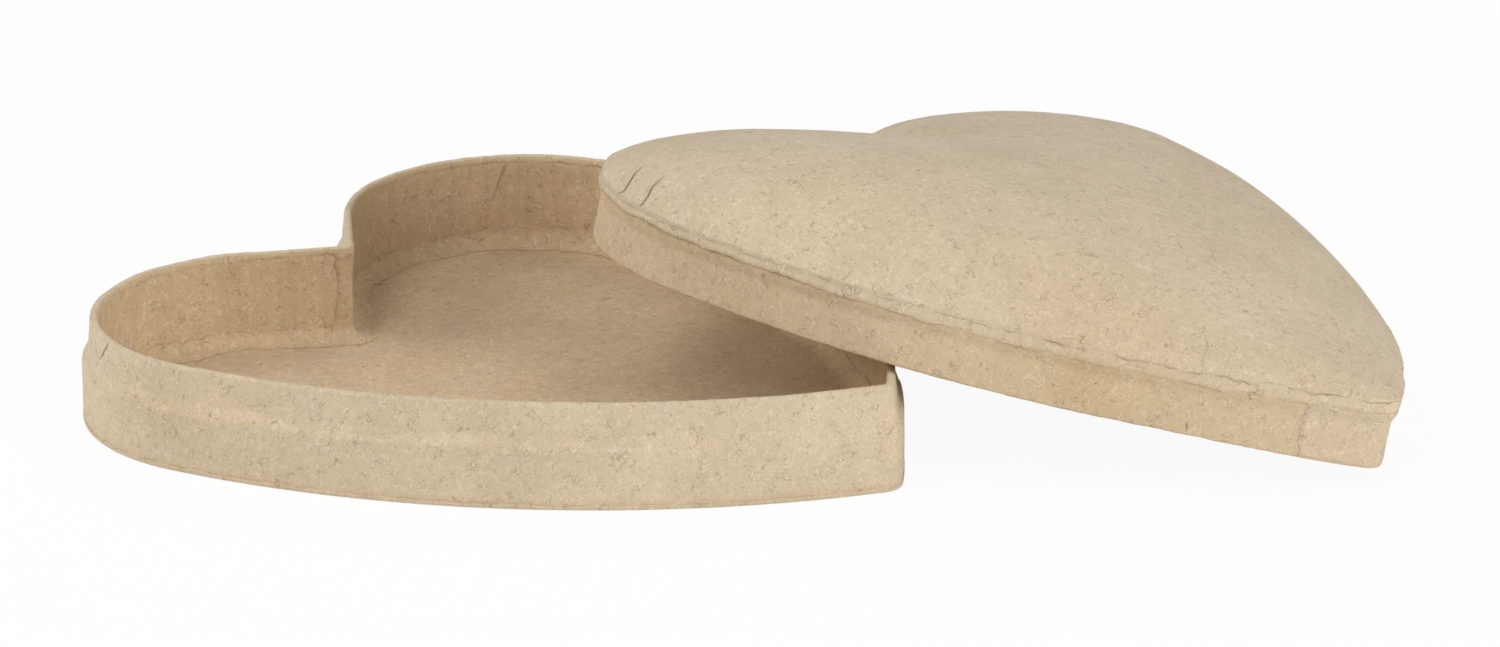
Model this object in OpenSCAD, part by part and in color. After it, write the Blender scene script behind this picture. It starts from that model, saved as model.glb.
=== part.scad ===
// Heart-shaped papier-mache box: a tray with a stepped collar, and a domed lid that leans on it.
// Millimetres, +Z up. The origin is the middle of the tray's underside, on the centre line.
// The cleft of the heart points along +Y and its tip along -Y.
// Tray and lid are bent chipboard strips pasted over with kraft paper; the dome is moulded pulp.

/* [Heart outline, outside of the collar] */
// Width across the lobes
heart_w = 246; // [220:1:300]
// Length from the top of the lobes to the tip, before the tip is rounded
heart_l = 260; // [230:1:320]
// Radius of each lobe
lobe_r = 60; // [45:1:70]
// Radius of the long curve of each flank
flank_r = 268; // [220:1:400]
// Slope of the shoulders beside the cleft, measured from the centre line
shoulder_angle = 48; // [36:0.5:60]
// Radius that rounds the tip
tip_r = 6; // [5:0.5:12]

/* [Board and paper] */
// Thickness of a ply of kraft paper
paper_t = 0.4; // [0.2:0.05:0.8]
// Thickness of the strip that forms the tray's wall and collar
wall_t = 1.8; // [1:0.1:3]
// Thickness of the tray's bottom board
bottom_t = 1.6; // [1:0.1:3]
// Thickness of the strip that forms the lid's skirt
skirt_t = 0.9; // [0.6:0.1:2]
// Thickness of the band round the lid's edge
band_t = 1.2; // [0.8:0.1:2]
// Thickness of the moulded dome
dome_t = 2; // [1.2:0.1:3]

/* [Tray] */
// Height from the underside to the rim
tray_h = 34.5; // [28:0.5:60]
// Height of the collar above the ledge that the lid closes down to
collar_h = 14.4; // [9:0.2:18]
// Depth of the wrap that is turned in over the rim
turn_in = 3; // [2:0.5:10]
// Height of the strip pasted round the inside corner, on the wall
corner_h = 5; // [3:0.5:10]
// Width of that strip on the floor
corner_w = 7; // [4:0.5:15]
// Width of the strip over the wall's butt joint, beside the cleft
seam_w = 6; // [4:0.5:12]

/* [Lid] */
// Gap all round between the collar and the lid's lining
fit_gap = 0.4; // [0.2:0.1:1]
// Height of the skirt below the band
skirt_h = 17; // [13:0.5:25]
// Height of the band round the edge
band_h = 4.9; // [3:0.1:8]
// Height of the dome above the band
dome_h = 29; // [15:1:45]
// Width of the round that the dome grows into towards its crown
crown_d = 190; // [120:2:230]
// Place of the crown along the heart
crown_y = 8; // [-20:1:30]
// How much the radius of the dome's tip grows up to its crown
crown_tip_r = 60; // [0:5:90]
// How the dome rises from its edge: 1 is upright, 2 is a slope
dome_ease = 1.65; // [1:0.05:2]
// How much fuller the dome is towards its flanks than along its middle
side_fill = 1.15; // [0:0.05:1.4]
// How far the patch round the skirt's tip reaches up the heart
patch_l = 17; // [10:1:30]

/* [Lid leaning on the tray] */
// Place of the lid's middle across the heart
lid_x = 109.5; // [90:0.5:125]
// Place of the lid's middle along the heart
lid_y = -118.5; // [-140:0.5:-100]
// Turn of the lid about the upright
lid_turn = -6.8; // [-20:0.2:20]
// Direction in which the lid rises, from +X towards +Y
lean_dir = 145; // [130:1:160]
// Gap between the lid's skirt and the rim that it leans on
lean_gap = 0.4; // [0.3:0.05:1]

/* [Hidden] */
$fn = 180;

// Layers as insets from the outside of the collar: a positive inset lies further in
wall_out = paper_t;
wall_in = wall_out + wall_t;
tray_in = wall_in + paper_t;
lining_in = -fit_gap;
skirt_in = lining_in - paper_t;
skirt_out = skirt_in - skirt_t;
skirt_face = skirt_out - paper_t;
patch_face = skirt_face - paper_t;
band_out = skirt_out - band_t;
lid_out = band_out - paper_t;
// The tray's lower wall is flush with the closed lid's skirt
tray_face = skirt_face;
ledge_out = tray_face + paper_t;

// Levels of the tray, and of the lid above the bottom of its skirt
board_top = paper_t + bottom_t;
floor_top = board_top + paper_t;
ledge_z = tray_h - collar_h;
rim_board_z = tray_h - paper_t;
turn_in_z = tray_h - turn_in;
band_top = skirt_h + band_h;

// Steps along each stretch of the outline: coarse ones for the dome, fine ones for contact
dome_steps = 4;
contact_steps = 40;
dome_rings = 8;
// Least radius at the tip of an outline that lies far in
least_tip_r = 1;
// How far a cut runs past the faces that it opens
past = 1;
// How far the rounds stand proud of the flanks and shoulders that run into them
blend = 0.02;

// Centres of the arcs on the right half, and the directions in which they meet
lobe_c = [heart_w / 2 - lobe_r, heart_l / 2 - lobe_r];
tip_point = [0, -heart_l / 2];
tip_to_lobe = lobe_c - tip_point;
lobe_dist = norm(tip_to_lobe);
lobe_way = tip_to_lobe / lobe_dist;
flank_along = (flank_r ^ 2 - (flank_r - lobe_r) ^ 2 + lobe_dist ^ 2) / (2 * lobe_dist);
flank_aside = sqrt(flank_r ^ 2 - flank_along ^ 2);
flank_c = tip_point + flank_along * lobe_way + flank_aside * [-lobe_way.y, lobe_way.x];
shoulder_dir = 180 - shoulder_angle;
flank_dir = atan2(lobe_c.y - flank_c.y, lobe_c.x - flank_c.x);

function heading(a) = [cos(a), sin(a)];
function arc(c, r, from, to, t) = c + r * heading(from + (to - from) * t);

// Key points of the outline at an inset
function shoulder_end(inset) = lobe_c + (lobe_r - inset) * heading(shoulder_dir);
function cleft(inset) =
    let (s = shoulder_end(inset))
    [0, s.y - s.x / tan(shoulder_angle)];
function flank_start(inset) = lobe_c + (lobe_r - inset) * heading(flank_dir);
function tip_round(inset, more = 0) = max(tip_r - inset, least_tip_r) + more;
function tip_c(inset, more = 0) =
    let (reach = flank_r - inset - tip_round(inset, more))
    [0, flank_c.y - sqrt(reach ^ 2 - flank_c.x ^ 2)];
function tip_dir(inset, more = 0) = atan2(tip_c(inset, more).y - flank_c.y, -flank_c.x);
function tip_end(inset) = tip_c(inset).y - tip_round(inset);

// Points along the outline, down the right half from the cleft and back up the left half,
// with a radius at the tip that can be given more
function half_points(inset, n, more = 0) = concat(
    [for (i = [0 : n - 1]) cleft(inset) + (shoulder_end(inset) - cleft(inset)) * i / n],
    [for (i = [0 : 4 * n - 1])
        arc(lobe_c, lobe_r - inset, shoulder_dir, flank_dir, i / (4 * n))],
    [for (i = [0 : 4 * n - 1])
        arc(flank_c, flank_r - inset, flank_dir, tip_dir(inset, more), i / (4 * n))],
    [for (i = [0 : n])
        arc(tip_c(inset, more), tip_round(inset, more), tip_dir(inset, more), -90, i / n)]
);
function heart_points(inset, n, more = 0) =
    let (half = half_points(inset, n, more))
    concat(half, [for (i = [len(half) - 2 : -1 : 1]) [-half[i].x, half[i].y]]);

// Inset of a point that lies near the outline
function inset_at(p) =
    let (q = [abs(p.x), p.y])
    let (a = atan2(q.y - lobe_c.y, q.x - lobe_c.x))
    a > shoulder_dir ? (shoulder_end(0) - q) * heading(shoulder_dir)
    : a > flank_dir ? lobe_r - norm(q - lobe_c)
    : flank_r - norm(q - flank_c);

// The lid leans with the low end of its skirt on the ground, at the least tilt that clears the rim
function turned(p, a) = [p.x * cos(a) - p.y * sin(a), p.x * sin(a) + p.y * cos(a)];
function rise(p) = turned(p, lid_turn) * heading(lean_dir);
skirt_edges = [
    for (inset = [patch_face, skirt_face, lining_in])
        each heart_points(inset, contact_steps)
];
lowest_rise = min([for (p = skirt_edges) rise(p)]);
function place(p, tilt) =
    turned(p, lid_turn) + [lid_x, lid_y] + rise(p) * (cos(tilt) - 1) * heading(lean_dir);
function on_rim(p) = inset_at(p) > 0 && inset_at(p) < tray_in;
function low_over_rim(tilt) = min(concat(
    [tray_h + 2 * lean_gap],
    [for (p = skirt_edges) if (on_rim(place(p, tilt))) (rise(p) - lowest_rise) * sin(tilt)]
));
function least_tilt(low, high, tries) =
    let (middle = (low + high) / 2)
    tries == 0 ? high
    : low_over_rim(middle) < tray_h + lean_gap ? least_tilt(middle, high, tries - 1)
    : least_tilt(low, middle, tries - 1);
steepest_tilt = 60;
lid_tilt = least_tilt(0, steepest_tilt, 16);
lid_z = -lowest_rise * sin(lid_tilt);

// Heart-shaped slab: the space between the flanks, with a round at each lobe and at the tip
module slab(inset, z0, z1) {
    h = z1 - z0;
    beyond = flank_r / 2;
    sunk = inset + blend;
    right = [
        shoulder_end(sunk), lobe_c, flank_start(-beyond),
        tip_c(inset) + beyond * heading(tip_dir(inset))
    ];
    left = [for (i = [3 : -1 : 0]) [-right[i].x, right[i].y]];
    translate([0, 0, z0]) {
        linear_extrude(h) intersection() {
            polygon(concat([cleft(sunk)], right, [tip_c(inset)], left));
            translate(flank_c) circle(flank_r - sunk);
            translate([-flank_c.x, flank_c.y]) circle(flank_r - sunk);
        }
        for (side = [0, 1])
            mirror([side, 0, 0]) translate(lobe_c) rotate(180)
                linear_extrude(h) circle(lobe_r - inset);
        translate(tip_c(inset)) linear_extrude(h) circle(tip_round(inset));
    }
}

// Heart-shaped ring between two insets
module ring(outer, inner, z0, z1) {
    difference() {
        slab(outer, z0, z1);
        slab(inner, z0 - past, z1 + past);
    }
}

// Points of one face of the dome, from its edge up to its crown
crown_c = [0, crown_y];
function dome_rise(depth, a, x) =
    (dome_h - depth) * sin(a) ^ dome_ease * (1 + side_fill * (2 * x / heart_w) ^ 2);
function dome_ring(depth, k) =
    let (a = 90 * k / dome_rings)
    let (size = cos(a))
    [for (p = heart_points(lid_out + depth, dome_steps, crown_tip_r * sin(a)))
        let (out = p - crown_c)
        let (rounded = size * out + (1 - size) * crown_d / 2 * out / norm(out))
        let (q = crown_c + size * rounded)
        [q.x, q.y, band_top + dome_rise(depth, a, q.x)]];
function dome_face(depth) = [for (k = [0 : dome_rings - 1]) each dome_ring(depth, k)];

// A layer of the dome between two depths below its outer face, closed by a flat edge
module dome_layer(outer, inner) {
    n = len(heart_points(lid_out, dome_steps));
    face = n * dome_rings;
    outside = dome_face(outer);
    inside = dome_face(inner);
    crowns = [for (depth = [outer, inner]) [0, crown_y, band_top + dome_rise(depth, 90, 0)]];
    sides = [
        for (k = [0 : dome_rings - 2], i = [0 : n - 1])
            let (a = k * n + i, b = k * n + (i + 1) % n)
            each [[a, b, b + n], [a, b + n, a + n]]
    ];
    tops = [
        for (i = [0 : n - 1])
            [(dome_rings - 1) * n + i, (dome_rings - 1) * n + (i + 1) % n, 2 * face]
    ];
    under = [
        for (f = concat(sides, tops))
            [for (i = [2 : -1 : 0]) f[i] == 2 * face ? 2 * face + 1 : f[i] + face]
    ];
    edge = [
        for (i = [0 : n - 1])
            let (b = (i + 1) % n)
            each [[i + face, b + face, b], [i + face, b, i]]
    ];
    polyhedron(concat(outside, inside, crowns), concat(sides, tops, under, edge));
}

// Moves the lid from its place on the tray to where it leans
module lid_leaning() {
    translate([lid_x, lid_y, lid_z])
        rotate([0, 0, lean_dir])
            rotate([0, -lid_tilt, 0])
                rotate([0, 0, lid_turn - lean_dir])
                    children();
}

// Paper under the tray, turned up round the edge of the bottom board
module base_underside_sheet() {
    color("burlywood") {
        slab(tray_face, 0, paper_t);
        ring(tray_face, ledge_out, 0, board_top);
    }
}

// Heart of chipboard that both wall strips stand on
module base_bottom_board() {
    color("tan") slab(ledge_out, paper_t, board_top);
}

// Strip bent to the full height of the wall, whose upper part is the collar
module base_inner_wall() {
    color("tan") ring(wall_out, wall_in, board_top, rim_board_z);
}

// Lower strip round the outside, whose top edge is the ledge
module base_outer_wall() {
    color("peru") ring(ledge_out, wall_out, board_top, ledge_z - paper_t);
}

// Paper up the outside, over the ledge, up the collar and turned in over the rim
module base_outer_wrap() {
    color("burlywood") {
        ring(tray_face, ledge_out, board_top, ledge_z);
        ring(tray_face, wall_out, ledge_z - paper_t, ledge_z);
        ring(0, wall_out, ledge_z - paper_t, tray_h);
        ring(0, tray_in, rim_board_z, tray_h);
        ring(wall_in, tray_in, turn_in_z, tray_h);
    }
}

// Paper on the inside of the wall, up to the edge of the wrap that is turned in
module base_wall_lining() {
    color("wheat") ring(wall_in, tray_in, board_top, turn_in_z);
}

// Heart of paper on the floor
module base_floor_lining() {
    color("wheat") slab(tray_in, board_top, floor_top);
}

// Strip of paper pasted into the corner between wall and floor
module base_corner_strip() {
    color("moccasin") {
        ring(tray_in, tray_in + paper_t, floor_top, floor_top + corner_h);
        ring(tray_in, tray_in + corner_w, floor_top, floor_top + paper_t);
    }
}

// Strip of paper over the wall's butt joint, left of the cleft's inner edge
module base_seam_strip() {
    reach = seam_w * sin(shoulder_angle);
    color("moccasin") intersection() {
        ring(tray_in, tray_in + paper_t, floor_top + corner_h, rim_board_z);
        translate([-reach, 0, 0]) cube([reach, heart_l, tray_h]);
    }
}

// Strip that slides over the collar, up to the underside of the dome
module lid_skirt() {
    color("tan") lid_leaning() ring(skirt_out, skirt_in, paper_t, band_top);
}

// Paper on the outside of the skirt, turned in under its edge
module lid_skirt_wrap() {
    color("burlywood") lid_leaning() {
        ring(skirt_face, skirt_out, 0, skirt_h);
        ring(skirt_face, skirt_in, 0, paper_t);
    }
}

// Paper on the inside of the skirt
module lid_skirt_lining() {
    color("wheat") lid_leaning() ring(skirt_in, lining_in, 0, band_top);
}

// Patch of paper over the wrap's ends, round the tip
module lid_tip_patch() {
    patch_top = tip_end(patch_face) + patch_l;
    color("moccasin") lid_leaning() intersection() {
        ring(patch_face, skirt_face, 0, skirt_h);
        translate([-heart_w / 2, patch_top - heart_l, 0]) cube([heart_w, heart_l, skirt_h]);
    }
}

// Band of chipboard round the top of the skirt, which makes the overhanging edge
module lid_band() {
    color("peru") lid_leaning() ring(band_out, skirt_out, skirt_h, band_top);
}

// Strip of paper round the band
module lid_band_wrap() {
    color("burlywood") lid_leaning() ring(lid_out, band_out, skirt_h, band_top);
}

// Moulded pulp dome that stands on the band and the skirt
module lid_dome_shell() {
    color("tan") lid_leaning() dome_layer(paper_t, paper_t + dome_t);
}

// Paper over the dome
module lid_dome_cover() {
    color("burlywood") lid_leaning() dome_layer(0, paper_t);
}

// Paper on the inside of the dome
module lid_dome_lining() {
    color("wheat") lid_leaning() dome_layer(paper_t + dome_t, 2 * paper_t + dome_t);
}

base_underside_sheet();
base_bottom_board();
base_inner_wall();
base_outer_wall();
base_outer_wrap();
base_wall_lining();
base_floor_lining();
base_corner_strip();
base_seam_strip();
lid_skirt();
lid_skirt_wrap();
lid_skirt_lining();
lid_tip_patch();
lid_band();
lid_band_wrap();
lid_dome_shell();
lid_dome_cover();
lid_dome_lining();
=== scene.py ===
"""Looks of the heart-shaped papier-mache box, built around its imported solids."""
import math

import bmesh
import bpy
import numpy as np
from mathutils import Matrix, Vector, noise
from mathutils.bvhtree import BVHTree


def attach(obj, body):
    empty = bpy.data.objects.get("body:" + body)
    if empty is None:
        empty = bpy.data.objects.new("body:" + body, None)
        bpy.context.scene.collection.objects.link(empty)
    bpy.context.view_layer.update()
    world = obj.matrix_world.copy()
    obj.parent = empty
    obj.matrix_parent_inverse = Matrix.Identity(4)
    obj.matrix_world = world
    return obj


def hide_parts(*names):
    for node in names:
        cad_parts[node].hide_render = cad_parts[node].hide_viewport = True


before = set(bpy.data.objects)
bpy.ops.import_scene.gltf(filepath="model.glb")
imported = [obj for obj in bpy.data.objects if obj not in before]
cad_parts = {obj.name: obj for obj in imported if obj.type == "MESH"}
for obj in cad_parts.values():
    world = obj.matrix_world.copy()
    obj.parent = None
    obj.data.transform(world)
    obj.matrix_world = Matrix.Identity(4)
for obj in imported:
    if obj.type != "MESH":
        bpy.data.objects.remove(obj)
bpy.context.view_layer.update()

MM = 0.001


# Where the photograph is taken from, in metres and radians
AIM = Vector((0.0955, -0.0005, 0.0))
VIEW_AZ, VIEW_EL, VIEW_DIST = math.radians(-52.85), math.radians(19.62), 2.57
SENSOR_W, LENS, CLIP_END = 36.0, 186.0, 50.0


def away(azimuth, elevation):
    """Direction from the object towards a viewer."""
    flat = math.cos(elevation)
    return Vector((math.sin(azimuth) * flat, -math.cos(azimuth) * flat, math.sin(elevation)))


TO_VIEW = away(VIEW_AZ, VIEW_EL)

# Sizes in millimetres, as in the part's source: the heart's outline, then plies and heights
HEART_W, HEART_L = 246.0, 260.0
LOBE_R, FLANK_R = 60.0, 268.0
SHOULDER = math.radians(48)
TIP_R, LEAST_TIP_R = 6.0, 1.0
PAPER, WALL_T, BOTTOM_T = 0.4, 1.8, 1.6
FIT_GAP, SKIRT_T, BAND_T, DOME_T = 0.4, 0.9, 1.2, 2.0
TRAY_H, SKIRT_H, BAND_H, DOME_H = 34.5, 17.0, 4.9, 29.0

# Insets of the faces from the collar's outside, where minus is further out; the skirt closes flush
TRAY_IN = WALL_T + 2 * PAPER
SKIRT_FACE = -(FIT_GAP + SKIRT_T + 2 * PAPER)
TRAY_FACE = SKIRT_FACE
LID_OUT = SKIRT_FACE - BAND_T

LOBE_C = np.array([HEART_W / 2 - LOBE_R, HEART_L / 2 - LOBE_R])
SHOULDER_DIR = math.pi - SHOULDER


def flank_centre():
    """Centre of the right flank's curve, which touches the lobe and runs through the tip."""
    tip = np.array([0.0, -HEART_L / 2])
    to_lobe = LOBE_C - tip
    dist = np.linalg.norm(to_lobe)
    way = to_lobe / dist
    along = (FLANK_R ** 2 - (FLANK_R - LOBE_R) ** 2 + dist ** 2) / (2 * dist)
    aside = math.sqrt(FLANK_R ** 2 - along ** 2)
    return tip + along * way + aside * np.array([-way[1], way[0]])


FLANK_C = flank_centre()
FLANK_DIR = math.atan2(LOBE_C[1] - FLANK_C[1], LOBE_C[0] - FLANK_C[0])

# Points along the stretches of half an outline
FILLET_N, SHOULDER_N, LOBE_N, FLANK_N, TIP_N = 6, 26, 140, 170, 12


def arc(centre, radius, start, end, count, closed=False):
    """Points along an arc and their directions from its centre; a closed one has its last point too."""
    angle = np.linspace(start, end, count, endpoint=closed)
    out = np.column_stack([np.cos(angle), np.sin(angle)])
    return centre + radius * out, out


def outline(inset, fillet=1.5, more=0.0):
    """Points and outward directions round the heart at an inset, down the right half first.

    The fillet rounds the cleft, and the tip's radius can be given more."""
    lobe = LOBE_R - inset
    shoulder_out = np.array([math.cos(SHOULDER_DIR), math.sin(SHOULDER_DIR)])
    shoulder_end = LOBE_C + lobe * shoulder_out
    cleft_y = shoulder_end[1] - shoulder_end[0] / math.tan(SHOULDER)
    fillet_c = np.array([0.0, cleft_y + fillet / math.sin(SHOULDER)])
    points, inward = arc(fillet_c, fillet, -math.pi / 2, -SHOULDER, FILLET_N)
    parts = [(points, -inward)]
    start = fillet_c - fillet * shoulder_out
    t = np.linspace(0, 1, SHOULDER_N, endpoint=False)[:, None]
    parts.append((start + (shoulder_end - start) * t, np.tile(shoulder_out, (SHOULDER_N, 1))))
    parts.append(arc(LOBE_C, lobe, SHOULDER_DIR, FLANK_DIR, LOBE_N))
    tip_round = max(TIP_R - inset, LEAST_TIP_R) + more
    reach = FLANK_R - inset - tip_round
    tip_c = np.array([0.0, FLANK_C[1] - math.sqrt(reach ** 2 - FLANK_C[0] ** 2)])
    tip_dir = math.atan2(tip_c[1] - FLANK_C[1], -FLANK_C[0])
    parts.append(arc(FLANK_C, FLANK_R - inset, FLANK_DIR, tip_dir, FLANK_N))
    parts.append(arc(tip_c, tip_round, tip_dir, -math.pi / 2, TIP_N, closed=True))
    points = np.concatenate([p for p, _ in parts])
    out = np.concatenate([o for _, o in parts])
    flip = np.array([-1.0, 1.0])
    return (np.concatenate([points, points[-2:0:-1] * flip]),
            np.concatenate([out, out[-2:0:-1] * flip]))


# Distance along the outline, measured on the collar from the cleft
REF, _ = outline(0.0)
COUNT = len(REF)
STEP = np.linalg.norm(np.roll(REF, -1, axis=0) - REF, axis=1)
ALONG = np.concatenate([[0.0], np.cumsum(STEP)[:-1]])
ROUND = float(STEP.sum())
TIP_AT = ROUND / 2


def wave(seed, length):
    """Smooth unit noise round the outline, with bends about this long in millimetres."""
    rng = np.random.default_rng(seed)
    turns = np.arange(max(1, int(ROUND / length / 2)), int(2 * ROUND / length) + 1)
    size = rng.normal(size=(2, len(turns))) / math.sqrt(len(turns))
    angle = 2 * math.pi * np.outer(ALONG, turns) / ROUND
    return np.cos(angle) @ size[0] + np.sin(angle) @ size[1]


def waves(*parts):
    """A sum of waves, each given as its size in millimetres, its seed and its length."""
    return sum(size * wave(seed, length) for size, seed, length in parts)


def patchy(seed, length, middle, swing):
    """A strength round the outline that comes and goes."""
    return np.clip(middle + swing * wave(seed, length), 0.0, 1.0)


def smooth(t):
    """An even rise from 0 to 1 that starts and ends flat."""
    t = np.clip(t, 0.0, 1.0)
    return t * t * (3 - 2 * t)


def rise(value, start, length):
    """0 up to a start, then smoothly to 1 over a length, for one value."""
    return float(smooth((value - start) / length))


def near(place, reach):
    """1 at a place along the outline, falling smoothly to 0 at reach."""
    gap = np.abs((ALONG - place + ROUND / 2) % ROUND - ROUND / 2)
    return 1 - smooth(gap / reach)


# Step in the noise from one seed to the next
SEED_STEP = (17.31, 5.13, 9.71)


def bumps(points, *parts):
    """A sum of noises over points, each given as its height and width in millimetres and its seed."""
    total = 0.0
    for height, width, seed in parts:
        shift = Vector([seed * step for step in SEED_STEP])
        total = total + height * np.array([noise.noise(Vector(p) / width + shift) for p in points])
    return total


# Materials
class Nodes:
    """A node tree under construction. Inputs are sockets or constants."""

    def __init__(self, tree):
        self.tree = tree
        tree.nodes.clear()

    def feed(self, socket, value):
        if isinstance(value, bpy.types.NodeSocket):
            self.tree.links.new(value, socket)
        else:
            socket.default_value = value

    def add(self, kind, inputs, **settings):
        """A node with its settings, and its inputs fed by name or number."""
        made = self.tree.nodes.new(kind)
        for key, value in settings.items():
            setattr(made, key, value)
        for key, value in inputs.items():
            self.feed(made.inputs[key], value)
        return made

    def noise(self, where, scale, detail=2.0, rough=0.55):
        inputs = {"Vector": where, "Scale": scale, "Detail": detail, "Roughness": rough}
        return self.add("ShaderNodeTexNoise", inputs).outputs["Fac"]

    def ranged(self, source, low, high, to_low=0.0, to_high=1.0):
        inputs = {"Value": source, "From Min": low, "From Max": high, "To Min": to_low, "To Max": to_high}
        return self.add("ShaderNodeMapRange", inputs).outputs["Result"]

    def maths(self, kind, a, b):
        return self.add("ShaderNodeMath", {0: a, 1: b}, operation=kind).outputs["Value"]

    def mixed(self, kind, amount, a, b):
        inputs = {0: amount, 6: a, 7: b}
        return self.add("ShaderNodeMix", inputs, data_type="RGBA", blend_type=kind).outputs[2]

    def mapped(self, where, **inputs):
        return self.add("ShaderNodeMapping", {"Vector": where, **inputs}).outputs["Vector"]

    def kept_on_mesh(self, name):
        return self.add("ShaderNodeAttribute", {}, attribute_name=name).outputs["Fac"]

    def strands(self, where, scale, width, share, shift):
        """Short curled fibres: pieces of one level of a smooth noise."""
        aside = {0: where, 1: (shift, -shift, 0.6 * shift)}
        spot = self.add("ShaderNodeVectorMath", aside, operation="ADD").outputs["Vector"]
        level = self.maths("SUBTRACT", self.noise(spot, scale, 1.5, 0.5), 0.5)
        line = self.ranged(self.maths("ABSOLUTE", level, 0.0), width * 0.3, width, 1.0, 0.0)
        kept = self.ranged(self.noise(spot, scale * 0.85, 0.0, 0.5), share, share + 0.05)
        return self.maths("MULTIPLY", line, kept)


# Colours of what lies in and on the paper; the last darkens both for soil and for painted shade in creases
# and under overhangs
STAIN, GUM = (0.985, 0.945, 0.885, 1.0), (0.93, 0.85, 0.72, 1.0)
PALE_FIBRE, SHORT_FIBRE = (0.86, 0.77, 0.62, 1.0), (0.27, 0.18, 0.10, 1.0)
LONG_FIBRE, FLECK, SOIL_AND_SHADE = (0.22, 0.14, 0.08, 1.0), (0.12, 0.07, 0.04, 1.0), (0.10, 0.055, 0.025, 1.0)


def ground_colour(net, where, light, dark, streak):
    """Mottled and grained paper, with upright streaks if asked, as on paper smoothed up a wall."""
    mottle = net.ranged(net.noise(where, 38.0, 4.0, 0.6), 0.34, 0.66)
    colour = net.mixed("MIX", mottle, (*dark, 1.0), (*light, 1.0))
    stain = net.ranged(net.noise(where, 15.0, 3.0, 0.55), 0.5, 0.72)
    colour = net.mixed("MULTIPLY", stain, colour, STAIN)
    cloud = net.ranged(net.noise(where, 250.0, 4.0, 0.65), 0.32, 0.68, 0.96, 1.04)
    grain = net.ranged(net.noise(where, 1300.0, 3.0, 0.7), 0.3, 0.7, 0.92, 1.08)
    colour = net.mixed("MULTIPLY", 1.0, colour, net.maths("MULTIPLY", cloud, grain))
    if streak:
        drawn = net.noise(net.mapped(where, Scale=(1.0, 1.0, 0.07)), 260.0, 3.0, 0.6)
        drawn = net.ranged(drawn, 0.32, 0.68, 1.0 - streak, 1.0 + streak)
        colour = net.mixed("MULTIPLY", 1.0, colour, drawn)
    return colour


def fleck_share(net, where):
    """Small dark dots in a few random cells."""
    cells = net.add("ShaderNodeTexVoronoi", {"Vector": where, "Scale": 230.0}, feature="F1")
    dot = net.ranged(cells.outputs["Distance"], 0.05, 0.09, 1.0, 0.0)
    chosen = net.add("ShaderNodeSeparateColor", {"Color": cells.outputs["Color"]}).outputs["Red"]
    return net.maths("MULTIPLY", dot, net.ranged(chosen, 0.93, 0.94))


def paper(name, light, dark, fibre=1.0, seed=0.0, streak=0.0):
    """Recycled kraft paper: mottled, with fine grain, curled fibres, dark flecks and a soft tooth."""
    mat = bpy.data.materials.new(name)
    mat.use_nodes = True
    net = Nodes(mat.node_tree)
    place = net.add("ShaderNodeTexCoord", {}).outputs["Object"]
    where = net.mapped(place, Location=(seed, seed * 0.7, seed * 1.3))
    colour = ground_colour(net, where, light, dark, streak)
    short_fibre = net.strands(where, 520.0, 0.036, 0.52, 0.11)
    long_fibre = net.strands(where, 300.0, 0.026, 0.56, 0.37)
    pale_fibre = net.strands(where, 420.0, 0.045, 0.52, 0.53)
    fleck = fleck_share(net, where)
    for share, amount, tint in (
            (pale_fibre, 0.30 * fibre, PALE_FIBRE), (short_fibre, 0.24 * fibre, SHORT_FIBRE),
            (long_fibre, 0.38 * fibre, LONG_FIBRE), (fleck, 0.65, FLECK)):
        colour = net.mixed("MIX", net.maths("MULTIPLY", share, amount), colour, tint)
    # Dark soil on torn and worn edges, and painted shade in creases and under the band's overhang
    colour = net.mixed("MIX", net.kept_on_mesh("soil_and_shade"), colour, SOIL_AND_SHADE)
    colour = net.mixed("MULTIPLY", net.kept_on_mesh("gum"), colour, GUM)

    tooth = net.maths("ADD", net.maths("MULTIPLY", net.noise(where, 330.0, 4.0, 0.6), 0.65),
                      net.maths("MULTIPLY", net.noise(where, 1800.0, 3.0, 0.7), 0.35))
    raised = net.maths("MULTIPLY", net.maths("ADD", long_fibre, pale_fibre), 0.25)
    height = net.maths("ADD", tooth, raised)
    bump = net.add("ShaderNodeBump", {"Height": height, "Strength": 0.55, "Distance": 0.00035})
    shader = net.add("ShaderNodeBsdfPrincipled", {
        "Base Color": colour, "Normal": bump.outputs["Normal"],
        "Roughness": net.ranged(net.noise(where, 300.0), 0.3, 0.7, 0.84, 0.97),
        "Specular IOR Level": 0.25, "Sheen Weight": 0.10, "Sheen Roughness": 0.45})
    net.add("ShaderNodeOutputMaterial", {"Surface": shader.outputs["BSDF"]})
    return mat


SLOTS = {
    "kraft_paper": paper("kraft_paper", (0.655, 0.535, 0.375), (0.60, 0.485, 0.335)),
    "kraft_lining": paper("kraft_lining", (0.635, 0.478, 0.298), (0.572, 0.428, 0.262), 1.1, 0.31, 0.045),
    "chipboard": paper("chipboard", (0.46, 0.37, 0.26), (0.40, 0.32, 0.22), 1.4, 0.57),
    "pulp": paper("pulp", (0.42, 0.32, 0.21), (0.36, 0.27, 0.17), 1.3, 0.83)}

# Meshes
SHARP = math.radians(50)


def loft(rings, closed):
    """Quads between rings of equal length, as lists of vertex numbers."""
    rows = len(rings)
    row = np.arange(rows if closed else rows - 1)[:, None]
    here, there = row * COUNT, ((row + 1) % rows) * COUNT
    i = np.arange(COUNT)[None, :]
    j = (i + 1) % COUNT
    return np.stack([here + i, here + j, there + j, there + i], -1).reshape(-1, 4).tolist()


def fan(first, centre):
    """Triangles from a ring, given by its first vertex, to a centre."""
    return [[first + i, first + (i + 1) % COUNT, centre] for i in range(COUNT)]


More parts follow.
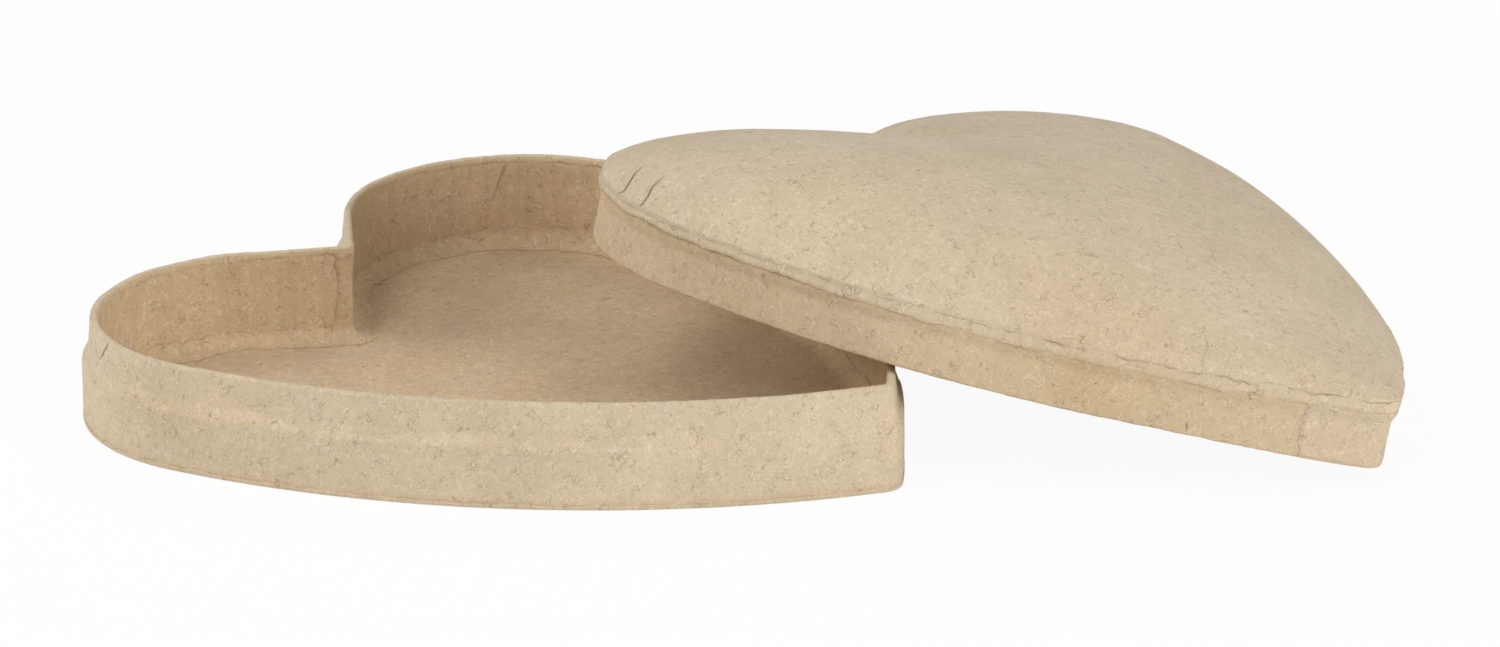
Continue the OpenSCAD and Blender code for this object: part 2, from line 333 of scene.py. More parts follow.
def sheet_faces(rows, cols):
    """Faces of a thin sheet: a grid of front points, the same of back points, and the rim between."""
    size = rows * cols
    faces = []
    for r in range(rows - 1):
        for c in range(cols - 1):
            a = r * cols + c
            faces.append([a, a + 1, a + cols + 1, a + cols])
            faces.append([size + a, size + a + cols, size + a + cols + 1, size + a + 1])
    rim = list(range(cols))
    rim += [r * cols + cols - 1 for r in range(1, rows)]
    rim += [(rows - 1) * cols + c for c in range(cols - 2, -1, -1)]
    rim += [r * cols for r in range(rows - 2, 0, -1)]
    return faces + [[a, b, size + b, size + a] for a, b in zip(rim, rim[1:] + rim[:1])]


def piece(name, verts, faces, node, slot, body, soil_and_shade=None, gum=None):
    """A smooth closed mesh, given in millimetres, that stands for a CAD node.

    Its two strengths from 0 to 1 at its points are dark soil on edges with painted shade in creases and under
    overhangs, and paste that stains the paper."""
    mesh = bpy.data.meshes.new(name)
    mesh.from_pydata((np.asarray(verts) * MM).tolist(), [], faces)
    for label, values in (("soil_and_shade", soil_and_shade), ("gum", gum)):
        kept = mesh.attributes.new(label, "FLOAT", "POINT")
        if values is not None:
            kept.data.foreach_set("value", np.asarray(values, np.float32).ravel())
    work = bmesh.new()
    work.from_mesh(mesh)
    bmesh.ops.recalc_face_normals(work, faces=work.faces)
    work.to_mesh(mesh)
    work.free()
    mesh.shade_smooth()
    mesh.set_sharp_from_angle(angle=SHARP)
    made = bpy.data.objects.new(name, mesh)
    bpy.context.scene.collection.objects.link(made)
    mesh.materials.append(SLOTS[slot])
    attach(made, body)
    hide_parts(node)
    return made


def ring_piece(name, rings, node, slot, body, soil_and_shade=None, gum=None):
    """A closed mesh whose rings run round its section."""
    return piece(name, np.concatenate(rings), loft(rings, True), node, slot, body, soil_and_shade, gum)


def capped_piece(name, rings, ends, node, slot, body, soil_and_shade=None, gum=None):
    """A closed mesh whose first and last ring each shut to a centre point."""
    verts = np.concatenate(rings + [np.array(ends)])
    last = len(rings) * COUNT
    faces = loft(rings, False) + fan(0, last) + fan(last - COUNT, last + 1)
    soil_and_shade, gum = (None if v is None else np.append(v, [0.0, 0.0]) for v in (soil_and_shade, gum))
    return piece(name, verts, faces, node, slot, body, soil_and_shade, gum)


def strengths(rings):
    """A strength of 0 at each point of each ring."""
    return np.zeros((len(rings), COUNT))


def flat_ring(points, z):
    """A ring of plan points at one height."""
    return np.column_stack([points, np.full(COUNT, z)])


# Height and width of what dried paste leaves uneven, in millimetres: wide swells and small bumps
SWELLS, DIMPLES = (0.11, 16.0), (0.05, 4.5)


def roughened(rings, amount, seed, inset=0.0):
    """Pushes rings in and out a little, as pasted paper dries."""
    _, outward = outline(inset)
    made = []
    for ring in rings:
        push = amount * bumps(ring, (*SWELLS, seed), (*DIMPLES, seed + 3))
        made.append(ring + np.column_stack([outward * push[:, None], np.zeros(COUNT)]))
    return made


# Creases: points along one, and the span of mesh that is searched about its middle, in millimetres
CREASE_N, CREASE_SPAN = 24, 40.0
# Longest edge that is cut first, in millimetres, and the share of the crease's width that is fine enough
COARSE, FINE = 3.2, 0.7
# In widths of the crease: how far it reaches, where its lip stands and how wide its line of painted shade is
CREASE_REACH, LIP_AT, LINE_W = 4, 1.8, 0.75
# Least turn of a face towards the view that lets a crease lie on it
LEAST_FACING = 0.05


def path_of(points, count):
    """Evenly spread points along a path through a few points."""
    points = np.asarray(points, float)
    at = np.concatenate([[0.0], np.cumsum(np.linalg.norm(np.diff(points, axis=0), axis=1))])
    here = np.linspace(0.0, at[-1], count)
    return np.column_stack([np.interp(here, at, points[:, k]) for k in range(3)])


def from_path(spots, line):
    """Distance of each spot from a line of points, the share along it, the step to the spot and the way."""
    start, step = line[:-1], np.diff(line, axis=0)
    away_from = spots[:, None, :] - start[None]
    t = np.clip((away_from * step).sum(-1) / (step ** 2).sum(-1), 0.0, 1.0)
    gap = away_from - t[..., None] * step
    dist = np.linalg.norm(gap, axis=-1)
    nearest = dist.argmin(1)
    row = np.arange(len(spots))
    return dist[row, nearest], (nearest + t[row, nearest]) / len(step), gap[row, nearest], step[nearest]


def score(made, points, width, depth, dark, lip):
    """Cuts a crease into a mesh along points in millimetres: a groove with painted shade along it, and one
    raised lip.
    """
    work = bmesh.new()
    work.from_mesh(made.data)
    work.normal_update()
    work.verts.ensure_lookup_table()
    seen = [[v.index for v in f.verts] for f in work.faces if f.normal.dot(TO_VIEW) > LEAST_FACING]
    tree = BVHTree.FromPolygons([v.co for v in work.verts], seen)
    line = np.array([tree.find_nearest(Vector(p) * MM)[0] for p in path_of(points, CREASE_N)]) / MM
    middle = Vector(line[CREASE_N // 2])

    def beside(limit):
        """Points of the mesh's near side that lie within a limit of the crease."""
        verts = [v for v in work.verts if (v.co / MM - middle).length < CREASE_SPAN]
        spots = np.array([v.co for v in verts]) / MM
        turned = np.array([v.normal.dot(TO_VIEW) > 0.0 for v in verts])
        kept = turned & (from_path(spots, line)[0] < limit)
        return [v for v, keep in zip(verts, kept) if keep]

    reach = CREASE_REACH * width
    longest = COARSE
    while longest > width * FINE:
        close = set(beside(reach + 1.5 * longest))
        cut = [e for e in work.edges
               if e.calc_length() > longest * MM and e.verts[0] in close and e.verts[1] in close]
        if cut:
            bmesh.ops.subdivide_edges(work, edges=cut, cuts=1, use_grid_fill=True)
            work.normal_update()
        longest /= 2
    bmesh.ops.triangulate(work, faces=[f for f in work.faces if len(f.verts) > 4])
    work.normal_update()
    verts = beside(reach)
    spots = np.array([v.co for v in verts]) / MM
    normals = np.array([v.normal for v in verts])
    dist, share, gap, way = from_path(spots, line)
    fade = np.sin(np.pi * np.clip(share, 0.02, 0.98)) ** 0.5
    side = np.einsum("ij,ij->i", np.cross(way, normals), gap) > 0
    raised = lip * side * np.exp(-((dist - LIP_AT * width) / width) ** 2)
    push = fade * (raised - depth * np.exp(-(dist / width) ** 2))
    # Painted shade along the groove, darkest at its middle
    painted_shade = fade * dark * np.exp(-(dist / (LINE_W * width)) ** 2)
    soil_and_shade = work.verts.layers.float["soil_and_shade"]
    for vert, move, shade in zip(verts, push, painted_shade):
        vert.co += vert.normal * float(move) * MM
        vert[soil_and_shade] = max(vert[soil_and_shade], float(shade))
    work.to_mesh(made.data)
    work.free()


# Tray: heights of its board, floor and rim, and of the paper's slope from the ledge to the collar
BOARD_TOP = PAPER + BOTTOM_T
FLOOR_TOP = BOARD_TOP + PAPER
STEP_LOW, STEP_HIGH = 19.4, 23.7
RIM_FROM, RIM_TOP = 33.1, TRAY_H - 0.15
WALL_TOP, LINING_TOP = 33.65, 32.4
# Gap that keeps a board or a hidden face just clear of its neighbour
CLEAR = 0.02
# Lower and upper height of the outer paper's stretches, and the rings in each
BELOW_STEP, ON_STEP, ON_COLLAR = (1.2, 18.4, 15), (19.2, 24.2, 15), (25.2, RIM_FROM - 0.3, 9)
# Rings of the outer paper that lie on the slope
SLOPE_ROWS = slice(17, 24)
# Height of the edge of the paper that is turned in over the rim
TURNED_IN = 31.2
# Rings over the rim and across the cove, and the cove's mean height and width
RIM_RINGS, COVE_RINGS, COVE_H, COVE_W = 13, 13, 5.0, 6.2
# Seam strip's mean width and its ends
SEAM_W, SEAM_LOW, SEAM_HIGH = 5.0, 6.6, 32.6
# Radius of the cleft on linings, on thin outer papers and on the widest faces
CLEFT_IN, CLEFT_OUT, CLEFT_FACE = 0.5, 2.0, 2.2
# How far the collar leans in and its rim strays, and the heights where that starts
COLLAR_LEAN, LEAN_FROM = 0.8, 22.0
RIM_STRAY, STRAY_FROM, STRAY_OVER = 0.16, 20.0, 14.0
RIM_WAVE = wave(1, 110)


def lean(z):
    """How far the collar leans in at a height."""
    return COLLAR_LEAN * smooth((z - LEAN_FROM) / (TRAY_H - LEAN_FROM))


def sway(z):
    """How far the wall's loose upper part strays outward round the outline."""
    return RIM_STRAY * smooth((z - STRAY_FROM) / STRAY_OVER) * RIM_WAVE


def tray_ring(inset, z, fillet=1.5, up=0.0):
    """A ring round the tray at an inset and a height, which leans and strays with the wall."""
    points, outward = outline(inset, fillet)
    shift = sway(z) - lean(z)
    return np.column_stack([points + outward * shift[:, None], np.full(COUNT, z) + up])


def step_inset(z):
    """Inset of the outer paper at a height, from the tray's face in to the collar."""
    return TRAY_FACE * (1 - rise(z, STEP_LOW, STEP_HIGH - STEP_LOW))


def tray_wrap():
    """Paper up the outside, over the step and the collar, and turned in over the rim with a torn edge."""
    heights = np.concatenate([np.linspace(*stretch) for stretch in (BELOW_STEP, ON_STEP, ON_COLLAR)])
    outer = [tray_ring(step_inset(z), z, CLEFT_FACE) for z in heights]
    foot, foot_up = heights[0], waves((0.08, 11, 18), (0.05, 12, 5))
    outer[0] = tray_ring(step_inset(foot) + 0.15, foot, CLEFT_FACE, up=foot_up)
    step_wave = waves((0.35, 13, 60), (0.15, 14, 16))
    for ring, z in zip(outer, heights):
        ring[:, 2] += step_wave * (rise(z, 17, 3) * (1 - rise(z, 24, 3)))
    rim_up = waves((0.09, 15, 55), (0.04, 16, 11))
    rim = []
    for t in np.linspace(0.0, math.pi, RIM_RINGS):
        inset = TRAY_IN / 2 * (1 - math.cos(t))
        z = RIM_FROM + (RIM_TOP - RIM_FROM) * math.sin(t) ** 0.75
        rim.append(tray_ring(inset, z, 1.6, up=rim_up * math.sin(t) ** 0.5))
    tear = waves((0.7, 17, 26), (0.3, 18, 6))
    inner = [tray_ring(TRAY_IN + proud, z, 0.8, up=tear * weight)
             for proud, z, weight in ((0.10, 32.9, 0.15), (0.06, 32.2, 0.5), (-0.14, TURNED_IN, 1.0))]
    visible = roughened(outer, 1.0, 21) + rim + inner
    # The paper's back, over the rim and down the collar and the ledge
    hidden = [tray_ring(TRAY_IN - 0.22, TURNED_IN, 0.8, up=tear)]
    hidden += [tray_ring(inset, z, 1.2) for inset, z in (
        (2.25, 33.0), (2.2, 33.72), (0.4, 33.72), (0.36, 33.0), (0.36, 24.6), (-1.72, 19.9), (-1.72, 2.0))]
    rings = visible + hidden
    soil_and_shade, gum = strengths(rings), strengths(rings)
    soil_and_shade[0] = patchy(20, 15, 0.05, 0.09)
    gum[0:2] = 0.35
    gum[len(outer) + len(rim) - 3:len(visible) + 1] = 0.6
    gum[SLOPE_ROWS] = 0.25 * patchy(22, 40, 0.4, 0.6)
    return ring_piece("tray_wrap", rings, "base_outer_wrap", "kraft_paper", "base", soil_and_shade, gum)


def tray_inner_wall():
    """The full-height strip, which leans and strays with its papers."""
    side = np.linspace(BOARD_TOP, WALL_TOP, 16)
    rings = [tray_ring(PAPER + CLEAR, z, 1.5) for z in side]
    rings += [tray_ring(PAPER + WALL_T - CLEAR, z, 1.0) for z in side[::-1]]
    ring_piece("tray_inner_wall", rings, "base_inner_wall", "chipboard", "base")


def tray_lining():
    """Paper on the inside of the wall, whose upper edge tucks under the paper turned in over the rim."""
    face = [tray_ring(TRAY_IN - 0.3 * rise(z, 31.0, 1.2), z, CLEFT_IN)
            for z in np.linspace(BOARD_TOP, LINING_TOP, 26)]
    back = [tray_ring(PAPER + WALL_T + CLEAR, z, 0.8) for z in (LINING_TOP, 24.0, BOARD_TOP)]
    rings = roughened(face, 1.0, 31) + back
    return ring_piece("tray_wall_lining", rings, "base_wall_lining", "kraft_lining", "base")


def tray_floor():
    """The heart of paper on the floor, a little uneven."""
    sizes = np.concatenate([np.linspace(1.0, 0.9, 6), np.linspace(0.86, 0.04, 22)])
    sunk = 0.12
    edge, _ = outline(TRAY_IN, CLEFT_IN)
    top = []
    for size in sizes:
        ring = flat_ring(edge * size, FLOOR_TOP)
        ring[:, 2] += bumps(ring, (0.16, 34.0, 41), (0.05, 9.0, 42)) - sunk
        top.append(ring)
    under = [flat_ring(edge * 0.5, BOARD_TOP), flat_ring(edge, BOARD_TOP)]
    capped_piece("tray_floor_lining", under + top, [[0, 0, BOARD_TOP], [0, 0, FLOOR_TOP - sunk]],
                 "base_floor_lining", "kraft_lining", "base")


def tray_corner_strip():
    """A paper cove between wall and floor, with torn edges."""
    high = COVE_H + waves((0.55, 51, 45), (0.25, 52, 9), (0.12, 53, 4)) + 1.5 * near(136.0, 42.0)
    wide = COVE_W + waves((0.7, 54, 50), (0.35, 55, 8))
    edge, outward = outline(TRAY_IN, CLEFT_IN)
    cove = []
    for t in np.linspace(0.0, 1.0, COVE_RINGS):
        angle = t * math.pi / 2
        off = wide * (1 - math.cos(angle)) + 0.22 * (1 - t)
        lift = high * (1 - math.sin(angle)) + 0.10 * t
        cove.append(np.column_stack([edge - outward * off[:, None], FLOOR_TOP + lift]))
    sunk = FLOOR_TOP - 0.2
    back = [flat_ring(edge - outward * (wide - 0.1)[:, None], sunk), flat_ring(edge, sunk),
            np.column_stack([edge, FLOOR_TOP + high - 0.05])]
    rings = roughened(cove, 1.2, 56) + back
    soil_and_shade = strengths(rings)
    beside_seam, left_lobe = near(ROUND - 45.0, 45.0), near(ROUND - 95.0, 110.0)
    soil_and_shade[0] = patchy(57, 12, 0.05, 0.12) + 0.25 * beside_seam * patchy(59, 7, 0.6, 0.5)
    soil_and_shade[len(cove) - 1] = patchy(58, 14, 0.05, 0.12) + 0.50 * left_lobe * patchy(60, 9, 0.7, 0.4)
    ring_piece("tray_corner_strip", rings, "base_corner_strip", "kraft_lining", "base", soil_and_shade)


def tray_seam_strip():
    """A strip over the wall's butt joint, left of the cleft's inner edge."""
    rows, cols = 60, 9
    points, outward = outline(TRAY_IN, CLEFT_IN)
    shoulder = COUNT - 1 - FILLET_N
    start, facing = points[shoulder + 2], -outward[shoulder - 4]
    along = np.array([-math.sin(SHOULDER), math.cos(SHOULDER)])
    rng = np.random.default_rng(61)
    ragged = np.convolve(rng.normal(size=rows + 8), np.ones(4) / 2, "same")[4:-4]
    front, back, soil_and_shade = [], [], []
    for r in range(rows):
        z = SEAM_LOW + (SEAM_HIGH - SEAM_LOW) * r / (rows - 1)
        width = SEAM_W + 0.5 * math.sin(r / 7.0) + 0.28 * ragged[r]
        for c in range(cols):
            across = c / (cols - 1)
            edge = across ** 6
            foot = start + along * width * across + facing * float(lean(z))
            front.append([*(foot + facing * (0.38 - 0.10 * edge + 0.05 * math.sin(r * 0.9 + c))), z])
            back.append([*(foot - facing * 0.2), z])
            soil_and_shade.append((0.15 + 0.35 * r / rows) * edge * (0.4 + 0.6 * math.sin(r * 0.55) ** 2))
    piece("tray_seam_strip", front + back, sheet_faces(rows, cols), "base_seam_strip", "kraft_lining", "base",
          soil_and_shade + [0.0] * len(back))


def tray_underside():
    """Paper under the tray, turned up round the edge of the board."""
    inside = PAPER - CLEAR
    edge_up = waves((0.18, 71, 22), (0.10, 72, 6))
    bottom = [flat_ring(outline(-1.3, CLEFT_OUT)[0] * size, 0.0)
              for size in (0.1, 0.35, 0.6, 0.85, 0.97, 1.0)]
    lip = [tray_ring(inset, z, CLEFT_OUT) for inset, z in (
        (-1.75, 0.06), (-2.02, 0.28), (-2.16, 0.62), (-2.24, 1.1))]
    lip += [tray_ring(inset, z, CLEFT_OUT, up=edge_up) for inset, z in ((-2.24, 1.55), (-2.06, 1.75))]
    top = [tray_ring(-1.72, z, 1.8) for z in (1.6, 0.42)]
    top += [flat_ring(outline(-1.6, CLEFT_OUT)[0] * size, inside) for size in (0.95, 0.5, 0.1)]
    rings = bottom + roughened(lip, 0.8, 73) + top
    soil_and_shade, gum = strengths(rings), strengths(rings)
    lip_end = len(bottom) + len(lip)
    soil_and_shade[lip_end - 1] = patchy(74, 18, 0.20, 0.20)
    gum[lip_end - 3:lip_end] = 0.35
    capped_piece("tray_underside_sheet", rings, [[0, 0, 0], [0, 0, inside]],
                 "base_underside_sheet", "kraft_paper", "base", soil_and_shade, gum)


# Lid, in its own frame, where z 0 is the bottom of its skirt, and then leaned on the tray
LID_AT = (109.5, -118.5, 20.3521)
LID_TURN, LID_TILT, LEAN_DIR = math.radians(-6.8), math.radians(11.9101), math.radians(145.0)
BAND_TOP = SKIRT_H + BAND_H
LEANING = np.array(Matrix.Translation(LID_AT) @ Matrix.Rotation(LEAN_DIR, 4, "Z")
                   @ Matrix.Rotation(-LID_TILT, 4, "Y") @ Matrix.Rotation(LID_TURN - LEAN_DIR, 4, "Z"))


def leaned(points):
    """Points of the lid's own frame, moved to where the lid leans on the tray."""
    return np.asarray(points) @ LEANING[:3, :3].T + LEANING[:3, 3]


def lid_ring(inset, z, fillet=1.5, out=0.0, up=0.0):
    """A ring round the lid in its own frame, pushed out and up if asked."""
    points, outward = outline(inset, fillet)
    shift = np.zeros(COUNT) + out
    return np.column_stack([points + outward * shift[:, None], np.full(COUNT, float(z)) + up])


# Middle of the left lobe along the outline
LEFT_LOBE = ROUND - 130.0
# How far the skirt's paper bridges out to the band, which is a little less at the left lobe
BRIDGE = 1.0 - 0.10 * near(LEFT_LOBE, 190.0)
# The paper bulges at the tip, and hangs lower there
TIP_BULGE = near(TIP_AT, 30.0)
DEEPER = 1.6 * near(TIP_AT, 75.0)
# How far the edge of band and dome swells, and how torn the dome's paper is there: least at the left lobe
BEAD_SWELL = waves((0.12, 103, 40), (0.05, 104, 9)) + 0.9 * TIP_BULGE
TORN = 1.0 - 0.65 * near(ROUND - 150.0, 250.0)
# How uneven the skirt's paper is, which the patch on it follows, and the seed of that noise
SKIRT_ROUGH, SKIRT_SEED = 1.3, 83
# Points of the outline that the patch covers on each side of the tip
PATCH_REACH = 27


def skirt_low(z):
    """How far the skirt's paper hangs lower towards the tip."""
    return -DEEPER * (1 - rise(z, 0.0, 9.0))


def skirt_out(z):
    """How far the skirt's paper swings out to the band as it rises, and flares at the tip."""
    flare = 0.9 * rise(z, 9.0, 8.0) + 0.5 * (1 - rise(z, 0.0, 5.0))
    return BRIDGE * 0.9 * rise(z, 12.6, 4.6) + TIP_BULGE * flare


def lid_skirt_paper():
    """Paper on the outside of the skirt, turned in under its edge."""
    ragged = np.abs(waves((0.10, 81, 40), (0.04, 82, 8)))
    edge = ragged - DEEPER
    outer = [lid_ring(inset, z, 2.0, up=edge) for inset, z in ((-1.3, 0.0), (-1.75, 0.05), (-2.02, 0.28))]
    for i, z in enumerate(np.linspace(0.7, 17.3, 30)):
        up = ragged * max(0.0, 1 - i / 3) + skirt_low(z)
        outer.append(lid_ring(SKIRT_FACE, z, 2.0, out=skirt_out(z), up=up))
    back = [lid_ring(inset, z, 1.6) for inset, z in ((-1.74, 17.3), (-1.74, 8.0), (-1.74, 0.6), (-0.9, 0.5))]
    back.append(lid_ring(-0.8, 0.0, 1.4, up=edge))
    rings = roughened(outer, SKIRT_ROUGH, SKIRT_SEED, SKIRT_FACE) + back
    soil_and_shade, gum = strengths(rings), strengths(rings)
    top = len(outer)
    # A faint dark line painted just under the band's overhang: painted shade
    soil_and_shade[top - 2:top] = patchy(84, 16, 0.03, 0.08)
    gum[:] = 0.55
    gum[top - 6:top] = 0.7
    return ring_piece("lid_skirt_paper", [leaned(r) for r in rings], "lid_skirt_wrap", "kraft_paper", "lid",
                      soil_and_shade, gum)


def lid_patch():
    """Paper patch round the tip, over the ends of the skirt's paper."""
    picked = np.arange(COUNT // 2 - PATCH_REACH, COUNT // 2 + PATCH_REACH + 1)
    thick = np.zeros(COUNT)
    thick[picked] = 0.09 + 0.13 * smooth(np.minimum(picked - picked[0], picked[-1] - picked) / 5.0)
    heights = np.linspace(0.05, SKIRT_H, 26)
    rng = np.random.default_rng(91)
    ragged = np.convolve(rng.normal(size=(40,)), np.ones(4) / 2, "same")[5:31]
    front, back = [], []
    for z, side in zip(heights, 0.5 * ragged):
        foot = 0.9 * (1 - rise(z, 0.0, 0.9))
        out, low = skirt_out(z), skirt_low(z)
        ring = lid_ring(SKIRT_FACE, z, 2.0, out=out + thick - foot, up=low)
        ring = roughened([ring], SKIRT_ROUGH, SKIRT_SEED, SKIRT_FACE)[0][picked]
        ring[0, :2] += (ring[0, :2] - ring[1, :2]) * side
        ring[-1, :2] += (ring[-1, :2] - ring[-2, :2]) * side
        front.append(ring)
        back.append(lid_ring(SKIRT_FACE, z, 2.0, out=out - 0.25, up=low)[picked])
    rows, cols = len(heights), len(picked)
    front, back = np.concatenate(front), np.concatenate(back)
    outward = outline(SKIRT_FACE)[1][np.tile(picked, rows)]
    front[:, :2] += outward * bumps(front, (0.03, 7.0, 92), (0.02, 3.0, 93))[:, None]
    soil_and_shade = np.zeros((2 * rows, cols))
    soil_and_shade[:rows, [0, -1]] = (0.24 + 0.12 * np.sin(np.arange(rows) * 1.7))[:, None]
    verts = leaned(np.concatenate([front, back]))
    piece("lid_tip_patch_paper", verts, sheet_faces(rows, cols), "lid_tip_patch", "kraft_paper", "lid",
          soil_and_shade, np.full(soil_and_shade.shape, 0.2))


# Section of the paper round the band: inset, height, and the shares of its uneven foot and of its welt
BEAD = ((-2.3, 17.15, 1.0, 0.0), (-2.9, 17.0, 1.0, 0.3), (-3.16, 17.25, 1.0, 0.7), (-3.28, 17.8, 0.9, 1.0),
        (-3.33, 18.6, 0.7, 1.0), (-3.33, 19.4, 0.5, 0.5), (-3.33, 20.2, 0.3, -0.8), (-3.32, 20.9, 0.1, -0.5),
        (-3.28, 21.6, 0.0, 0.0), (-3.1, 21.95, 0.0, 0.0))
# Its row that lies in the crease above the welt, which takes painted shade
BEAD_CREASE = 6


def lid_bead():
    """Paper round the band, which makes the overhanging edge: slim at the left lobe, deep at the flank."""
    slim = near(LEFT_LOBE, 170.0)
    low = waves((0.20, 101, 30), (0.12, 102, 7)) + 1.1 * slim - 0.35
    welt = 0.3 * slim
    outer = []
    for i, (inset, z, foot, ridge) in enumerate(BEAD):
        swell = BEAD_SWELL * (0.6 if i == 0 else 1.0)
        outer.append(lid_ring(inset, z, CLEFT_FACE, out=swell + welt * ridge, up=low * foot))
    back = [lid_ring(inset, z, 2.0) for inset, z in ((-2.92, 21.85), (-2.92, 19.5), (-2.3, 18.9))]
    rings = roughened(outer, 0.8, 105, LID_OUT) + back
    soil_and_shade, gum = strengths(rings), strengths(rings)
    # Faint painted shade on the band paper's underside, where it overhangs the skirt
    soil_and_shade[0:2] = patchy(106, 9, 0.02, 0.08)
    # Painted shade in the crease above the welt
    soil_and_shade[BEAD_CREASE] = 0.1 * slim
    gum[1:4] = 0.35
    ring_piece("lid_band_paper", [leaned(r) for r in rings], "lid_band_wrap", "kraft_paper", "lid", soil_and_shade, gum)


# Dome: its crown, the round that its rings grow into, and the shape of its section
CROWN = np.array([0.0, 8.0])
CROWN_R, CROWN_TIP_R, CROWN_CLEFT_R = 95.0, 60.0, 6.0
DOME_EASE, SIDE_FILL = 1.65, 1.15
DOME_RINGS, HIDDEN_RINGS, EDGE_RINGS = 72, 36, 12


def dome_face(depth, rows):
    """Rings of the dome at a depth below its outer face, from its edge towards its crown, and the crown."""
    rings = []
    for row in range(rows):
        a = math.pi / 2 * row / rows
        size = math.cos(a)
        cleft, tip = CLEFT_FACE + CROWN_CLEFT_R * math.sin(a), CROWN_TIP_R * math.sin(a)
        edge, _ = outline(LID_OUT + depth, cleft, tip)
        out = edge - CROWN
        far = CROWN_R * out / np.linalg.norm(out, axis=1)[:, None]
        flat = CROWN + size * (size * out + (1 - size) * far)
        fill = 1 + SIDE_FILL * (2 * flat[:, 0] / HEART_W) ** 2
        height = BAND_TOP + (DOME_H - depth) * math.sin(a) ** DOME_EASE * fill
        rings.append(np.column_stack([flat, height]))
    return rings, [*CROWN, BAND_TOP + DOME_H - depth]


def dome_piece(name, outside, inside, node, slot, soil_and_shade=None):
    """A shell between two faces of the dome, each given as its rings and its crown."""
    rings = outside[0][::-1] + inside[0]
    return capped_piece(name, [leaned(r) for r in rings], leaned([outside[1], inside[1]]), node, slot, "lid",
                        soil_and_shade)


def lid_dome_paper():
    """Paper over the dome, lapped over the band with a torn edge."""
    rings, crown = dome_face(0.0, DOME_RINGS)
    face = []
    for ring in rings:
        up = bumps(ring, (0.22, 30.0, 111), (0.10, 9.0, 112), (0.05, 3.5, 113))
        face.append(ring + np.column_stack([ring[:, :2] * 0.0012 * up[:, None], up]))
    face[0] = lid_ring(LID_OUT - 0.02, BAND_TOP + 0.12, CLEFT_FACE, out=BEAD_SWELL + 0.12 * TORN)
    _, outward = outline(LID_OUT, CLEFT_FACE)
    for i in range(1, EDGE_RINGS):
        swing = BEAD_SWELL * (1 - rise(i, 0, EDGE_RINGS))
        face[i][:, :2] += outward * swing[:, None]
    torn = waves((0.30, 114, 34), (0.22, 115, 8), (0.12, 116, 4))
    proud = BEAD_SWELL + 0.27 * TORN
    lap = [lid_ring(LID_OUT + 0.14, 20.75, CLEFT_FACE, out=proud, up=torn),
           lid_ring(LID_OUT + 0.10, 21.4, CLEFT_FACE, out=proud, up=0.4 * torn)]
    outer = lap + face
    hidden, hidden_crown = dome_face(PAPER, HIDDEN_RINGS)
    inner = [lid_ring(LID_OUT + 0.30, 20.8, CLEFT_FACE, out=proud, up=torn)] + hidden
    soil_and_shade = strengths(outer + inner)
    soil_and_shade[len(outer) - 1] = TORN * patchy(117, 14, 0.36, 0.24)
    return dome_piece("lid_dome_paper", (outer, crown), (inner, hidden_crown), "lid_dome_cover",
                      "kraft_paper", soil_and_shade)


def lid_dome_core():
    """The moulded pulp, just clear of its papers."""
    outside, inside = (dome_face(PAPER + depth, HIDDEN_RINGS) for depth in (0.08, DOME_T - 0.05))
    dome_piece("lid_dome_core", outside, inside, "lid_dome_shell", "pulp")


def lid_dome_inside():
    """Paper on the inside of the dome, a little uneven."""
    outside = dome_face(PAPER + DOME_T + 0.05, HIDDEN_RINGS)
    rings, crown = dome_face(2 * PAPER + DOME_T, HIDDEN_RINGS)
    rings = [r + np.column_stack([np.zeros((COUNT, 2)), bumps(r, (0.18, 20.0, 121))]) for r in rings]
    dome_piece("lid_dome_inside", outside, (rings, crown), "lid_dome_lining", "kraft_lining")


tray_underside()
tray_inner_wall()
tray_paper = tray_wrap()
wall_paper = tray_lining()
tray_floor()
tray_corner_strip()
tray_seam_strip()
skirt_paper = lid_skirt_paper()
lid_patch()
lid_bead()
dome_paper = lid_dome_paper()
lid_dome_core()
lid_dome_inside()

# Cracks and creases in the papers: points along each, then its width, depth, strength of painted shade in its
# groove and raised lip
for creased, points, section in (
        (dome_paper, ((5.6, -14.6, 71.9), (6.0, -18.1, 74.0), (9.7, -17.3, 75.9), (14.1, -16.1, 77.5),
                      (18.0, -16.3, 78.8)), (0.55, 0.25, 1.0, 0.05)),
        (dome_paper, ((0.6, -26.4, 70.8), (1.3, -29.2, 73.2), (3.8, -29.4, 75.2), (7.9, -28.3, 77.3),
                      (12.8, -29.1, 79.4)), (0.50, 0.25, 0.9, 0.05)),
        (dome_paper, ((64.2, -201.8, 49.2), (60.6, -205.7, 46.5), (56.4, -206.9, 44.6), (53.6, -208.5, 42.5)),
         (0.4, 0.25, 0.25, 0.12)),
        (skirt_paper, ((50.1, -205.2, 24.3), (50.1, -205.4, 21.6)), (0.35, 0.2, 0.8, 0.0)),
        (tray_paper, ((-118.0, 92.8, 34.2), (-117.4, 94.5, 32.0), (-116.6, 96.3, 29.4), (-115.3, 98.9, 26.0)),
         (0.38, 0.35, 0.9, 0.15)),
        (wall_paper, ((104.5, 109.5, 31.9), (103.2, 110.7, 28.4), (102.2, 111.7, 24.6), (101.4, 112.4, 21.2),
                      (100.6, 113.2, 17.2)), (0.5, 0.3, 0.4, 0.3))):
    score(creased, points, *section)

# Solids that stay as they are take the same papers and board
for kept, slot_name in (("base_bottom_board", "chipboard"), ("base_outer_wall", "chipboard"),
                        ("lid_skirt", "chipboard"), ("lid_band", "chipboard"),
                        ("lid_skirt_lining", "kraft_lining")):
    for material_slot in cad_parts[kept].material_slots:
        material_slot.material = SLOTS[slot_name]

